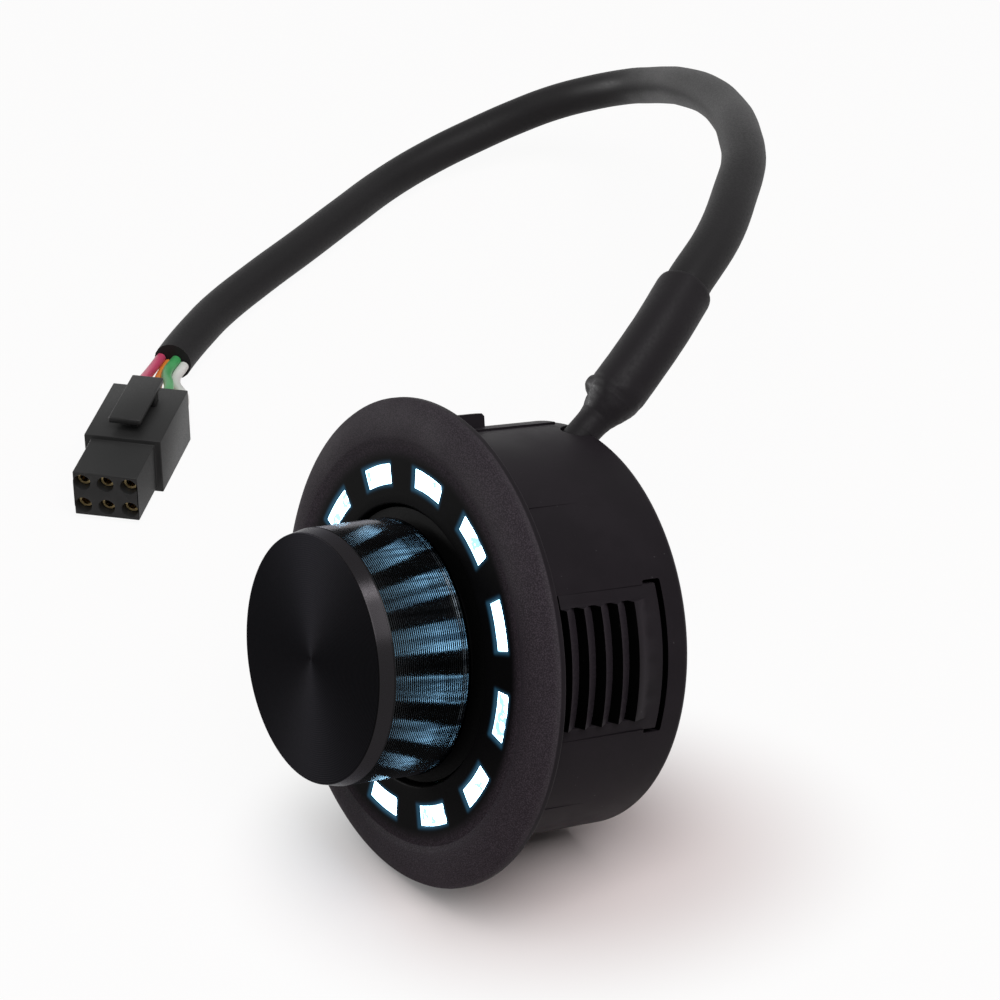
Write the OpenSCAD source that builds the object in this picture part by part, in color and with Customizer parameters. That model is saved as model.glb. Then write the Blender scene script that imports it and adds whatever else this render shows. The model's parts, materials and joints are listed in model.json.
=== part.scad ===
// Round panel controller: lit flange, push-and-turn knob, snap clips and a pigtail lead
// Millimetres, +Z up. It lies as photographed, on its flange rim and its rear edge, knob towards -Y.

/* [Flange] */
// Outer diameter of the flange
flange_d = 50; // [48:0.5:60]
// Thickness of the flange at its rim
edge_t = 0.9; // [0.8:0.05:1.6]
// Rounding of the rim's corners
edge_r = 0.25; // [0.1:0.05:0.35]
// Height of the crown above the rim's front corner
crown_h = 1.5; // [1.2:0.05:2.4]
// Width of the slope from the rim up to the crown
crown_w = 3.6; // [2.5:0.1:3.8]

/* [Body] */
// Outer diameter of the body behind the flange
body_d = 42; // [41:0.1:43]
// Depth of the body, from the rim's front corner to the rear face
depth = 18.9; // [18.5:0.1:24]
// Thickness of the body's side wall
wall = 1.6; // [1.4:0.05:2]
// Thickness of the rear wall
rear_t = 1.6; // [1.2:0.1:2]
// Rounding of the rear edge
rear_r = 0.8; // [0.4:0.1:1.2]
// How far the clip side is turned up from the horizontal
roll = 20.5; // [0:0.5:45]

/* [Face ring] */
// Width of the ledge that the face ring sits on
ledge = 1.05; // [0.8:0.05:1.2]
// Least width of the face ring outside the windows
ring_rim = 1.2; // [0.8:0.05:1.6]
// Thickness of the face ring
ring_t = 1.2; // [1:0.05:1.6]
// Drop from the crown to the face ring's front
ring_dip = 0.18; // [0.1:0.02:0.3]
// Diameter of the hole round the knob
hole_d = 28.7; // [28:0.1:29.4]
// Thickness of the collar behind the hole
collar_t = 0.8; // [0.6:0.05:0.9]
// Length of the collar behind the face ring
collar_len = 1.3; // [0.8:0.1:2]

/* [Light windows] */
// Number of windows
win_n = 12; // [6:1:16]
// Inner diameter of the row of windows
win_in_d = 32.6; // [32.2:0.1:33.4]
// Outer diameter of the row of windows
win_out_d = 37; // [36:0.1:37.4]
// Angle that one window covers
win_angle = 16.8; // [10:0.1:18]
// Depth of the light pads below the face
pad_sink = 0.3; // [0.15:0.05:0.5]
// Gap round each light pad
pad_gap = 0.06; // [0.03:0.01:0.1]
// Thickness of the light guide's plate
guide_t = 1; // [0.8:0.1:1.2]
// Width of the light guide's plate inside the windows
guide_lip = 0.5; // [0.3:0.05:0.6]
// Gap between the light guide's plate and the body's bore
guide_gap = 0.4; // [0.3:0.05:0.6]
// Width of a light leg along the ring
leg_w = 2.4; // [1.6:0.1:3]
// Thickness of a light leg
leg_t = 1.2; // [0.8:0.1:1.4]
// Radius of the row of lamps
lamp_row_r = 16.5; // [16.3:0.05:16.7]

/* [Board] */
// Depth of the board's front below the rim's front corner
board_at = 6; // [5.6:0.1:6.6]
// Thickness of the board
board_t = 1.2; // [0.8:0.1:1.6]
// Gap between the board and the body's bore
board_gap = 0.4; // [0.3:0.05:0.6]
// Height of a lamp
lamp_h = 0.9; // [0.6:0.1:1.2]
// Gap between a lamp and its light leg
lamp_gap = 0.4; // [0.2:0.05:0.6]
// Radius of the row of screw posts
post_row_r = 14.4; // [14:0.1:14.6]
// Radius of a screw post
post_r = 2.1; // [1.8:0.1:2.3]
// Radius of a board screw's shank
screw_r = 0.9; // [0.7:0.05:1]
// Radius of a board screw's head
screw_head_r = 1.6; // [1.4:0.05:1.8]
// Length of a screw in its post
screw_len = 5; // [4:0.5:7]
// Gap round a screw
screw_gap = 0.1; // [0.05:0.01:0.2]
// Distance of the control chip from the axis
chip_at = 6.2; // [6:0.1:7]
// Side of the square control chip
chip_w = 5.6; // [4:0.1:6]
// Distance of the board's socket from the axis
socket_at = 6.1; // [5.9:0.1:6.4]
// Width of the board's socket
socket_w = 8; // [6:0.1:9]
// Height of the board's socket below the board
socket_h = 3.4; // [3:0.1:3.8]
// Length of the board's socket
socket_len = 2.1; // [1.6:0.1:2.2]
// Length of the lead's small plug in that socket
lead_plug_len = 2.4; // [1.6:0.1:2.5]

/* [Encoder] */
// Side of the encoder's square base
enc_w = 11.8; // [11.4:0.1:12.6]
// Height of the encoder's base
enc_h = 4.6; // [4.4:0.1:5]
// Thickness of the encoder's steel frame
frame_t = 0.5; // [0.3:0.05:0.6]
// Outer radius of the bush
bush_r = 3.5; // [3.4:0.05:4]
// Height of the bush above the frame
bush_h = 5; // [4.4:0.1:5]
// Radius of the shaft
shaft_r = 3; // [2.8:0.05:3.1]
// Radial clearance of the shaft in its bush
run_gap = 0.04; // [0.02:0.01:0.08]
// Radius of the rotor
rotor_r = 4.6; // [4.2:0.1:4.8]
// Gap between the rotor and the base's hollow
rotor_gap = 0.5; // [0.3:0.05:0.6]
// Radius of the push plunger
plunger_r = 1.45; // [1.2:0.05:1.6]
// Travel of the push switch
travel = 0.5; // [0.3:0.05:0.6]

/* [Knob] */
// Diameter of the knob at its base
knob_d = 26.2; // [25.9:0.1:27]
// Diameter of the knob at the plain band
knob_mid_d = 25.9; // [25.6:0.1:26]
// Diameter of the knob's front face
face_d = 25.2; // [24.6:0.1:25.4]
// Height of the front face above the rim's front corner
knob_top = 12.4; // [12.2:0.1:16]
// Length of the plain band behind the face
band = 1.6; // [1:0.1:2]
// Gap between the knob's base and the face ring
knob_gap = 0.6; // [0.6:0.05:1]
// Side wall of the metal cap
cap_wall = 1.5; // [1.2:0.1:1.8]
// Thickness of the cap's front
cap_t = 1.6; // [1.2:0.1:2]
// Number of turned grooves round the cap
groove_n = 28; // [10:1:36]
// Depth of a turned groove
groove_h = 0.06; // [0.03:0.01:0.1]
// Radius of the core's hub
hub_r = 5.2; // [4.6:0.1:6]
// Wall of the core's skirt
skirt_t = 1; // [0.8:0.1:1.4]
// Gap between the core's lip and the hole in the face ring
lip_gap = 0.35; // [0.25:0.05:0.6]
// Thickness of the core's lip
lip_t = 1; // [0.8:0.1:1.2]
// Glue gap between the cap and its core
glue = 0.05; // [0.03:0.01:0.08]

/* [Snap clips] */
// Width of a clip's tongue
clip_w = 14.6; // [14:0.1:16.4]
// Width of the row of teeth
tooth_w = 12; // [10:0.1:12.6]
// Number of teeth
tooth_n = 5; // [3:1:5]
// Spacing of the teeth along the body
tooth_pitch = 2.03; // [1.9:0.01:2.1]
// Height of the teeth above the body
tooth_h = 0.9; // [0.6:0.05:1]
// Depth of the valleys below the body's surface
tooth_cut = 0.8; // [0.4:0.05:0.9]
// Depth of the first tooth behind the rim's front corner
tooth_at = 3.8; // [3.8:0.05:4]
// Length of the last tooth's ramp
ramp = 2.1; // [1.8:0.05:2.2]
// Plain tongue behind the ramp
tongue_end = 1.5; // [1:0.1:1.6]
// Thickness of the tongue at its middle
clip_t = 2.8; // [2.6:0.05:2.9]
// Radius of the bead that the clip swings on
bead_r = 0.75; // [0.7:0.01:0.78]
// Length of the bead
bead_len = 11.2; // [9:0.1:11.4]
// Thickness of the neck between bead and tongue
neck_t = 0.8; // [0.7:0.05:0.9]
// Radial clearance of the bead in its seat
bead_gap = 0.05; // [0.02:0.01:0.08]
// Slit along each side of a clip
slit = 0.15; // [0.1:0.05:0.4]
// Slot behind a clip
rear_slot = 0.6; // [0.5:0.05:0.8]
// Width of the slot's two arms beside the clip's end
arm_w = 0.55; // [0.4:0.05:0.8]
// Length of the slot's two arms
arm_len = 2.4; // [1:0.1:4]
// Depth of the shallow pocket round a clip
pocket = 0.2; // [0.1:0.05:0.3]
// Half angle of the shallow pocket
pocket_half = 46.5; // [40:0.5:60]
// Length of the shallow pocket behind the flange
pocket_len = 10.5; // [8:0.1:11]
// Height of the key behind the flange
key_h = 1.6; // [1:0.1:1.8]
// Width of the key
key_w = 4.4; // [3:0.1:8]
// Length of the key behind the flange
key_len = 9.1; // [6:0.1:10]
// Height of the low strip round the key
strip_h = 0.2; // [0.1:0.05:0.4]
// Half angle that the strip covers
strip_half = 11; // [6:0.5:14]
// Length of the strip behind the flange
strip_len = 16.6; // [10:0.1:17]

/* [Lead and plug] */
// Diameter of the thin lead
lead_d = 3.4; // [3:0.1:3.5]
// Wall of the rubber bush round the lead
bush_wall = 0.85; // [0.7:0.05:1]
// Gap round the lead and round its bush
lead_gap = 0.06; // [0.04:0.01:0.1]
// Length of the rubber bush
bush_len = 4; // [3:0.1:5]
// Diameter of the shrink sleeve
sleeve_d = 5.7; // [5.3:0.1:6.2]
// Diameter of the round cable
cable_d = 5; // [4.6:0.1:5.2]
// Diameter of one coloured core
core_d = 1.3; // [1:0.05:1.4]
// Length of the plug
plug_l = 20; // [18:0.5:26]
// Width of the plug
plug_w = 9.6; // [8.6:0.1:11]
// Height of the plug
plug_h = 7.2; // [6.4:0.1:9]
// Radius of a contact's round cavity
cavity_r = 1; // [0.8:0.05:1.1]
// Spacing of the plug's contacts
cavity_pitch = 3.2; // [2.8:0.1:3.6]

/* [Hidden] */
$fn = 96;
eps = 0.01;
big = 100;

// Radii and levels, measured along the axis from the rim's front corner
flange_r = flange_d / 2;
body_r = body_d / 2;
bore_r = body_r - wall;
seat_gap = 0.05;
hole_r = hole_d / 2;
ring_top = crown_h - ring_dip;
ring_low = ring_top - ring_t;
rear_in = -(depth - rear_t);
win_in = win_in_d / 2;
win_out = win_out_d / 2;
seat_r = max(bore_r + ledge, win_out + ring_rim);
crown_r = max(flange_r - crown_w, seat_r + 0.9);
guide_low = ring_low - guide_t;
guide_in = max(win_in - guide_lip, hole_r + collar_t + 0.15);
guide_out = bore_r - guide_gap;
board_top = -board_at;
board_low = board_top - board_t;
board_r = bore_r - board_gap;
lamp_top = board_top + lamp_h;
leg_low = lamp_top + lamp_gap;
enc_top = board_top + enc_h;
frame_top = enc_top + frame_t;
bush_top = frame_top + bush_h;
knob_low = ring_top + knob_gap;
face_r = face_d / 2;
cap_in = min(knob_d, knob_mid_d) / 2 - cap_wall;
cap_ceiling = knob_top - cap_t;
core_r = cap_in - glue;
hub_low = bush_top + travel + 0.3;
skirt_low = ring_top - 1.6;
rotor_t = 1;
rotor_low = enc_top - 1.6;
shaft_low = rotor_low - 0.4;
shaft_top = cap_ceiling - 1.4;
flat_depth = 1.5;
plunger_low = shaft_low - 1.6;

// The rest attitude: the rim's back corner and the rear edge touch the floor
rim_c = [flange_r - edge_r, -(edge_t - edge_r)];
rear_c = [body_r - rear_r, -(depth - rear_r)];
rest_a = rim_c[0] - rear_c[0];
rest_b = rim_c[1] - rear_c[1];
rest_h = sqrt(rest_a * rest_a + rest_b * rest_b);
tilt = acos((rear_r - edge_r) / rest_h) - atan2(rest_b, rest_a);
z_up = rim_c[0] * cos(tilt) - rim_c[1] * sin(tilt) + edge_r;
y_front = knob_top * cos(tilt) + face_r * sin(tilt);
y_rear = depth * cos(tilt) + rear_c[0] * sin(tilt);
y_mid = (y_front - y_rear) / 2;

// Clip levels, with x outwards through the clip
clip_in = body_r - clip_t;
bead_x = clip_in + bead_r - 0.05;
bead_z = -(tooth_at - bead_r - 0.45);
tip_r = body_r + tooth_h;
root_r = body_r - tooth_cut;
tooth_last = -(tooth_at + (tooth_n - 1) * tooth_pitch);
clip_low = tooth_last - ramp - tongue_end;
window_top = -(tooth_at - 0.4);
post_angles = [60, 120, 240, 300];
exit_angle = 80;
strip_angle = 100.5;
key_angle = strip_angle;
clear_out = 12;

// Cord routes in the room, in round numbers
lead_route = [[-2.1, 7.3, 33.5], [-2.5, 9, 35.4], [-2.9, 11.6, 36.6], [-3.2, 14.9, 37.8],
    [-3.7, 18, 39.7], [-4.2, 21.4, 41.8]];
sleeve_route = [[-4.2, 21.5, 41.86], [-5.4, 25.8, 44.4], [-7.7, 31, 46.8], [-10.6, 35.9, 48.5]];
cable_route = [[-11, 36.5, 48.8], [-15.5, 43.5, 50.2], [-22.5, 51, 50.8], [-28, 56, 50.3],
    [-37.5, 62.5, 48], [-52.5, 72, 42.2], [-67, 79.8, 36.5], [-82, 86.8, 29.8], [-96, 93.8, 22.6],
    [-105, 97.4, 18], [-111, 98.2, 15.2], [-117, 96, 12.3], [-121.5, 92.3, 9.8], [-124.5, 88, 7.5],
    [-126.5, 82, 5.3], [-127, 75.5, 3.7], [-125, 67, 2.7], [-120, 56.7, 2.6], [-115, 47, 2.6],
    [-110.5, 38, 2.6], [-105.5, 29, 2.6], [-102.3, 24.5, 2.6], [-99, 20.3, 2.6], [-97, 18, 2.6]];
plug_at = [-86, 9.4, 0];
plug_turn = -43.5;
core_start = [-96.9, 17.9, 2.6];
core_side = [0.76, 0.65, 0];

function unit(v) = v / norm(v);
function bezier3(p, q, s, e, t) = 0.5 * (2 * q + (s - p) * t + (2 * p - 5 * q + 4 * s - e) * t * t
    + (3 * q - p - 3 * s + e) * t * t * t);
function at(p, i) = p[max(0, min(len(p) - 1, i))];
function smooth(p, n) = concat([for (i = [0:len(p) - 2]) for (k = [0:n - 1])
    bezier3(at(p, i - 1), at(p, i), at(p, i + 1), at(p, i + 2), k / n)], [at(p, len(p) - 1)]);
function heading(p, i) = unit(at(p, i + 1) - at(p, i - 1));
function ring_at(p, i, r, s) = let (t = heading(p, i), x = unit(cross(t, [0, 0, 1])), y = cross(x, t))
    [for (j = [0:s - 1]) p[i] + r * (cos(360 * j / s) * x + sin(360 * j / s) * y)];
function arc(c, r, a0, a1, n) = [for (k = [0:n]) c + r * [cos(a0 + (a1 - a0) * k / n),
    sin(a0 + (a1 - a0) * k / n)]];

module tube(p, r, s) {
    m = len(p);
    pts = [for (i = [0:m - 1]) each ring_at(p, i, r, s)];
    low = [[for (j = [s - 1:-1:0]) j]];
    top = [[for (j = [0:s - 1]) (m - 1) * s + j]];
    first = [for (i = [0:m - 2]) for (j = [0:s - 1])
        [i * s + j, i * s + (j + 1) % s, (i + 1) * s + (j + 1) % s]];
    second = [for (i = [0:m - 2]) for (j = [0:s - 1])
        [i * s + j, (i + 1) * s + (j + 1) % s, (i + 1) * s + j]];
    polyhedron(points = pts, faces = concat(low, top, first, second), convexity = 6);
}

// From the controller's own axes to the room
module place() {
    translate([0, y_mid, z_up]) rotate([90 - tilt, 0, 0]) rotate([0, 0, roll]) children();
}

module disc(r, z0, z1) {
    translate([0, 0, z0]) cylinder(r = r, h = z1 - z0);
}

module tube_ring(r0, r1, z0, z1) {
    difference() {
        disc(r1, z0, z1);
        disc(r0, z0 - 1, z1 + 1);
    }
}

module block(x0, x1, y0, y1, z0, z1) {
    translate([x0, y0, z0]) cube([x1 - x0, y1 - y0, z1 - z0]);
}

// A sector of a ring, centred on the x direction
module sector(r0, r1, half, z0, z1) {
    rotate([0, 0, -half]) rotate_extrude(angle = 2 * half) polygon([[r0, z0], [r1, z0], [r1, z1], [r0, z1]]);
}

module windows(grow, z0, z1) {
    for (i = [0:win_n - 1]) {
        rotate([0, 0, 180 / win_n + i * 360 / win_n])
            sector(win_in - grow, win_out + grow, win_angle / 2 + grow * 180 / (PI * win_out), z0, z1);
    }
}

module posts_at() {
    for (a = post_angles) {
        rotate([0, 0, a]) translate([post_row_r, 0, 0]) children();
    }
}

// The lead's way out through the rear corner, along a line at 45 degrees
module exit_line(r, from, to) {
    rotate([0, 0, exit_angle]) translate([body_r - 1, 0, -(depth - 0.9)]) rotate([0, 135, 0])
        translate([0, 0, from]) cylinder(r = r, h = to - from);
}

module housing_solid() {
    rotate_extrude() polygon(concat(
        [[bore_r, rear_in], [bore_r, ring_low], [seat_r, ring_low], [seat_r, ring_top - 0.05],
         [crown_r - 0.35, crown_h], [crown_r + 0.3, crown_h]],
        [[crown_r + crown_w * 0.45, crown_h * 0.8], [crown_r + crown_w * 0.8, crown_h * 0.36]],
        arc([flange_r - edge_r, -edge_r], edge_r, 60, 0, 3),
        arc(rim_c, edge_r, 0, -90, 4),
        [[body_r, -edge_t]],
        arc(rear_c, rear_r, 0, -90, 6),
        [[0, -depth], [0, rear_in]]));
}

module clip_seat() {
    half = bead_len / 2 + bead_gap;
    intersection() {
        block(bead_x - bead_r - 0.65, body_r, -half - 0.5, half + 0.5, window_top, bead_z + bead_r + 0.6);
        disc(body_r - 0.5, -big, big);
    }
}

module clip_window() {
    half = clip_w / 2 + slit;
    arm = clip_w / 2 + arm_w;
    block(clip_in - 2, tip_r + 2, -half, half, clip_low - rear_slot, window_top);
    block(clip_in - 2, tip_r + 2, -arm, arm, clip_low - rear_slot, clip_low + arm_len);
    translate([bead_x, 0, bead_z]) rotate([90, 0, 0])
        cylinder(r = bead_r + bead_gap, h = bead_len + 2 * bead_gap, center = true);
    block(bead_x - neck_t / 2 - 0.2, bead_x + neck_t / 2 + 0.2, -bead_len / 2 - bead_gap,
        bead_len / 2 + bead_gap, window_top - 1, bead_z);
}

module housing() {
    color("#1b1c1e") place() difference() {
        union() {
            housing_solid();
            intersection() {
                tube_ring(body_r - wall / 2, body_r + key_h, -(edge_t + key_len), -edge_t + eps);
                rotate([0, 0, key_angle]) block(0, big, -key_w / 2, key_w / 2, -big, big);
            }
            rotate([0, 0, strip_angle])
                sector(body_r - wall / 2, body_r + strip_h, strip_half, -(edge_t + strip_len), -edge_t + eps);
            posts_at() disc(post_r, rear_in - eps, board_low);
            for (a = [0, 180]) {
                rotate([0, 0, a]) clip_seat();
            }
        }
        for (a = [0, 180]) {
            rotate([0, 0, a]) clip_window();
            rotate([0, 0, a])
                sector(body_r - pocket, body_r + 1, pocket_half, -(edge_t + pocket_len), -edge_t);
        }
        posts_at() disc(screw_r + screw_gap, board_low - screw_len - 0.5, board_low + 1);
        exit_line(lead_d / 2 + bush_wall + 2 * lead_gap, -bush_len, clear_out);
    }
}

module face_ring() {
    color("#0b0b0d") place() difference() {
        rotate_extrude() polygon([[hole_r + 0.2, ring_top], [hole_r, ring_top - 0.2],
            [hole_r, ring_low - collar_len], [hole_r + collar_t, ring_low - collar_len],
            [hole_r + collar_t, ring_low], [seat_r - seat_gap, ring_low],
            [seat_r - seat_gap, ring_top - 0.1], [seat_r - 0.2, ring_top]]);
        windows(0, ring_low - 1, ring_top + 1);
    }
}

module light_guide() {
    color("#dff1ff") place() {
        tube_ring(guide_in, guide_out, guide_low, ring_low);
        windows(-pad_gap, ring_low - eps, ring_top - pad_sink);
        for (i = [0:win_n - 1]) {
            rotate([0, 0, 180 / win_n + i * 360 / win_n])
                block(lamp_row_r - leg_t / 2, lamp_row_r + leg_t / 2, -leg_w / 2, leg_w / 2,
                    leg_low, guide_low + eps);
        }
    }
}

module lamps() {
    color("#f4f0c8") place() for (i = [0:win_n - 1]) {
        rotate([0, 0, 180 / win_n + i * 360 / win_n])
            block(lamp_row_r - leg_t / 2 + 0.1, lamp_row_r + leg_t / 2 - 0.1, -leg_w / 2, leg_w / 2,
                board_top, lamp_top);
    }
}

module pin_spots() {
    for (x = [-2.5, 0, 2.5]) {
        translate([x, -enc_w / 2 + 1, 0]) children();
    }
    for (x = [-2.5, 2.5]) {
        translate([x, enc_w / 2 - 1, 0]) children();
    }
}

module main_board() {
    color("#1d5a38") place() difference() {
        disc(board_r, board_low, board_top);
        for (a = [0, 180]) {
            rotate([0, 0, a]) block(clip_in - 0.8, big, -big, big, -big, big);
        }
        posts_at() disc(screw_r + screw_gap, board_low - 1, board_top + 1);
        pin_spots() disc(0.5, board_low - 1, board_top + 1);
    }
}

module board_screws() {
    color("#b9bcc2") place() posts_at() difference() {
        union() {
            disc(screw_head_r, board_top, board_top + 1.1);
            disc(screw_r, board_low - screw_len, board_top + eps);
        }
        rotate([0, 0, 20]) block(-0.9, 0.9, -0.2, 0.2, board_top + 0.6, board_top + 2);
        rotate([0, 0, 110]) block(-0.9, 0.9, -0.2, 0.2, board_top + 0.6, board_top + 2);
    }
}

module control_chip() {
    color("#2a2a2c") place() rotate([0, 0, exit_angle + 180]) {
        block(chip_at, chip_at + chip_w, -chip_w / 2, chip_w / 2, board_low - 1.2, board_low);
        for (s = [-1, 1]) {
            block(chip_at + 0.4, chip_at + chip_w - 0.4, s * (chip_w / 2 + 0.5) - 0.5,
                s * (chip_w / 2 + 0.5) + 0.5, board_low - 0.5, board_low);
        }
    }
}

module board_socket() {
    color("#efece2") place() rotate([0, 0, exit_angle])
        block(socket_at, socket_at + socket_len, -socket_w / 2, socket_w / 2, board_low - socket_h, board_low);
}

module lead_plug() {
    start = socket_at + socket_len;
    color("#e4e0d2") place() rotate([0, 0, exit_angle])
        block(start, start + lead_plug_len, -socket_w / 2 + 0.5, socket_w / 2 - 0.5,
            board_low - socket_h + 0.2, board_low - 0.3);
}

module encoder_base() {
    color("#17181a") place() difference() {
        block(-enc_w / 2, enc_w / 2, -enc_w / 2, enc_w / 2, board_top, enc_top);
        disc(rotor_r + rotor_gap, shaft_low - 0.6, enc_top + 1);
        disc(plunger_r + run_gap, board_top + 0.45, enc_top);
        disc(plunger_r + 0.9, board_top - 1, board_top + 0.5);
        pin_spots() disc(0.42, board_top - 1, board_top + 0.6);
    }
}

module encoder_frame() {
    color("#aeb2b8") place() difference() {
        union() {
            block(-enc_w / 2, enc_w / 2, -enc_w / 2, enc_w / 2, enc_top, frame_top);
            for (s = [-1, 1]) {
                block(s * (enc_w / 2 + 0.2) - 0.2, s * (enc_w / 2 + 0.2) + 0.2, -2, 2,
                    board_top, frame_top);
            }
        }
        disc(bush_r + 0.03, enc_top - 1, frame_top + 1);
    }
}

module encoder_bush() {
    color("#c8b56a") place() difference() {
        union() {
            disc(bush_r, enc_top, bush_top);
            disc(bush_r + 0.9, frame_top, frame_top + 0.6);
        }
        disc(shaft_r + run_gap, enc_top - 1, bush_top + 1);
    }
}

module encoder_pins() {
    color("#d8d8d2") place() pin_spots() disc(0.38, board_low - 1.6, board_top + 0.55);
}

module detent_spring() {
    color("#c9ccd1") place() {
        tube_ring(rotor_r - 1, rotor_r + rotor_gap - 0.05, enc_top - 0.2, enc_top);
    }
}

module switch_dome() {
    color("#cfd2d6") place() rotate_extrude() polygon([[0, board_top], [plunger_r + 0.8, board_top],
        [plunger_r + 0.8, board_top + 0.1], [plunger_r * 0.6, plunger_low - travel - 0.05],
        [0, plunger_low - travel - 0.05]]);
}

module push_plunger() {
    color("#e8e8e4") place() disc(plunger_r, plunger_low, shaft_low - 0.02);
}

module encoder_shaft() {
    color("#c3c6cb") place() difference() {
        union() {
            disc(shaft_r, rotor_low + rotor_t + 0.2, shaft_top);
            disc(plunger_r, shaft_low, rotor_low + rotor_t + 0.2 + eps);
        }
        block(shaft_r - flat_depth, big, -big, big, hub_low + 0.2, big);
    }
}

module encoder_rotor() {
    color("#d9d4c4") place() tube_ring(plunger_r + 0.03, rotor_r, rotor_low, rotor_low + rotor_t);
}

module knob_core() {
    color("#222326") place() difference() {
        union() {
            disc(core_r, cap_ceiling - 1.2, cap_ceiling);
            disc(hub_r, hub_low, cap_ceiling - 1.2 + eps);
            tube_ring(core_r - skirt_t, core_r, skirt_low, cap_ceiling - 1.2 + eps);
            tube_ring(core_r - skirt_t, hole_r - lip_gap, skirt_low, skirt_low + lip_t);
        }
        difference() {
            disc(shaft_r + 0.03, hub_low - 1, shaft_top + 0.05);
            block(shaft_r - flat_depth + 0.04, big, -big, big, hub_low + 0.25, big);
        }
    }
}

module knob_cap() {
    wall_top = knob_top - band;
    base_r = knob_d / 2;
    mid_r = knob_mid_d / 2;
    low = knob_low + 0.3;
    pitch = (wall_top - 0.3 - low) / groove_n;
    color("#26272b") place() rotate_extrude() polygon(concat(
        [[cap_in, cap_ceiling], [cap_in, knob_low], [base_r - 0.25, knob_low], [base_r, knob_low + 0.25]],
        [for (i = [0:groove_n - 1]) let (r = base_r + (mid_r - base_r) * (i + 0.5) / groove_n)
            each [[r, low + pitch * (i + 0.25)], [r - groove_h, low + pitch * (i + 0.5)],
                [r, low + pitch * (i + 0.75)]]],
        [[mid_r, wall_top - 0.15], [mid_r, wall_top], [face_r + 0.08, knob_top - 0.12],
         [face_r - 0.08, knob_top], [0, knob_top], [0, cap_ceiling]]));
}

module clip_shape() {
    half = clip_w / 2;
    teeth = concat([[root_r - 0.6, -tooth_at]],
        [for (i = [0:tooth_n - 1]) each concat([[tip_r, -(tooth_at + i * tooth_pitch)]],
            i < tooth_n - 1 ? [[root_r, -(tooth_at + (i + 1) * tooth_pitch) + eps]] : [])],
        [[body_r - pocket / 2, tooth_last - ramp], [root_r - 0.6, tooth_last - ramp]]);
    difference() {
        intersection() {
            block(clip_in, body_r + 1, -half, half, clip_low, -tooth_at);
            disc(body_r - pocket / 2, -big, big);
        }
        intersection() {
            tube_ring(root_r - 0.5, body_r + 2, tooth_last - ramp + eps, 0);
            block(clip_in, big, -tooth_w / 2, tooth_w / 2, -big, big);
        }
    }
    intersection() {
        rotate([0, 0, -40]) rotate_extrude(angle = 80) polygon(teeth);
        block(clip_in, big, -tooth_w / 2, tooth_w / 2, -big, big);
    }
    block(bead_x - neck_t / 2, bead_x + neck_t / 2, -bead_len / 2 + 0.3, bead_len / 2 - 0.3,
        -tooth_at - 1, bead_z);
    translate([bead_x, 0, bead_z]) rotate([90, 0, 0]) cylinder(r = bead_r, h = bead_len, center = true);
}

module clip_right() {
    color("#202124") place() clip_shape();
}

module clip_left() {
    color("#202124") place() rotate([0, 0, 180]) clip_shape();
}

module lead_bush() {
    color("#101012") place() difference() {
        intersection() {
            exit_line(lead_d / 2 + bush_wall + lead_gap, -bush_len + 0.3, clear_out);
            disc(body_r - 0.15, -(depth - 0.15), 0);
        }
        exit_line(lead_d / 2 + lead_gap, -bush_len - 1, clear_out + 1);
    }
}

module lead() {
    color("#0f0f10") tube(smooth(lead_route, 2), lead_d / 2, 8);
}

module shrink_sleeve() {
    color("#141416") tube(smooth(sleeve_route, 2), sleeve_d / 2, 12);
}

module cable() {
    color("#2b2c30") tube(cable_route, cable_d / 2, 12);
}

// Point on the plug's rear face, across and up from its middle
function plug_point(across, up, back) = plug_at + [cos(plug_turn) * -back - sin(plug_turn) * across,
    sin(plug_turn) * -back + cos(plug_turn) * across, up];

module core_wire(k, up) {
    side = (k - 1.5) * cavity_pitch * 0.62;
    spread = (k - 1.5) * core_d * 0.8;
    tube(smooth([core_start + core_side * spread + [0, 0, up * 0.5],
        core_start + core_side * spread + [2.2, -2.4, up * 0.7],
        plug_point(side, plug_h / 2 + up, 4), plug_point(side, plug_h / 2 + up, 0.02)], 2), core_d / 2, 8);
}

module core_red() {
    color("#c9394a") core_wire(0, 0.8);
}

module core_orange() {
    color("#d98a2b") core_wire(1, -0.6);
}

module core_green() {
    color("#3f8f4f") core_wire(2, 0.8);
}

module core_white() {
    color("#d9d9d6") core_wire(3, -0.6);
}

module plug_frame() {
    translate(plug_at) rotate([0, 0, plug_turn]) children();
}

module cavities(r, x0, x1) {
    for (i = [-1, 0, 1]) {
        for (s = [-1, 1]) {
            translate([x0, i * cavity_pitch * 0.9, plug_h / 2 + s * cavity_pitch * 0.5]) rotate([0, 90, 0])
                cylinder(r = r, h = x1 - x0);
        }
    }
}

module plug_housing() {
    color("#1d1e20") plug_frame() difference() {
        union() {
            block(0, plug_l * 0.62, -plug_w / 2, plug_w / 2, 0, plug_h);
            block(plug_l * 0.62 - eps, plug_l, -plug_w / 2 + 0.8, plug_w / 2 - 0.8, 0.6, plug_h - 0.6);
        }
        cavities(cavity_r, plug_l * 0.4, plug_l + 1);
    }
}

module plug_latch() {
    color("#242527") plug_frame() {
        block(plug_l * 0.16, plug_l * 0.24, -2, 2, plug_h, plug_h + 1.2);
        block(plug_l * 0.04, plug_l * 0.56, -2, 2, plug_h + 1.2 - eps, plug_h + 2);
    }
}

module plug_contacts() {
    color("#c9b36a") plug_frame() difference() {
        cavities(cavity_r - 0.12, plug_l * 0.4, plug_l - 1.2);
        cavities(cavity_r - 0.4, plug_l * 0.55, plug_l + 1);
    }
}

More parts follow.
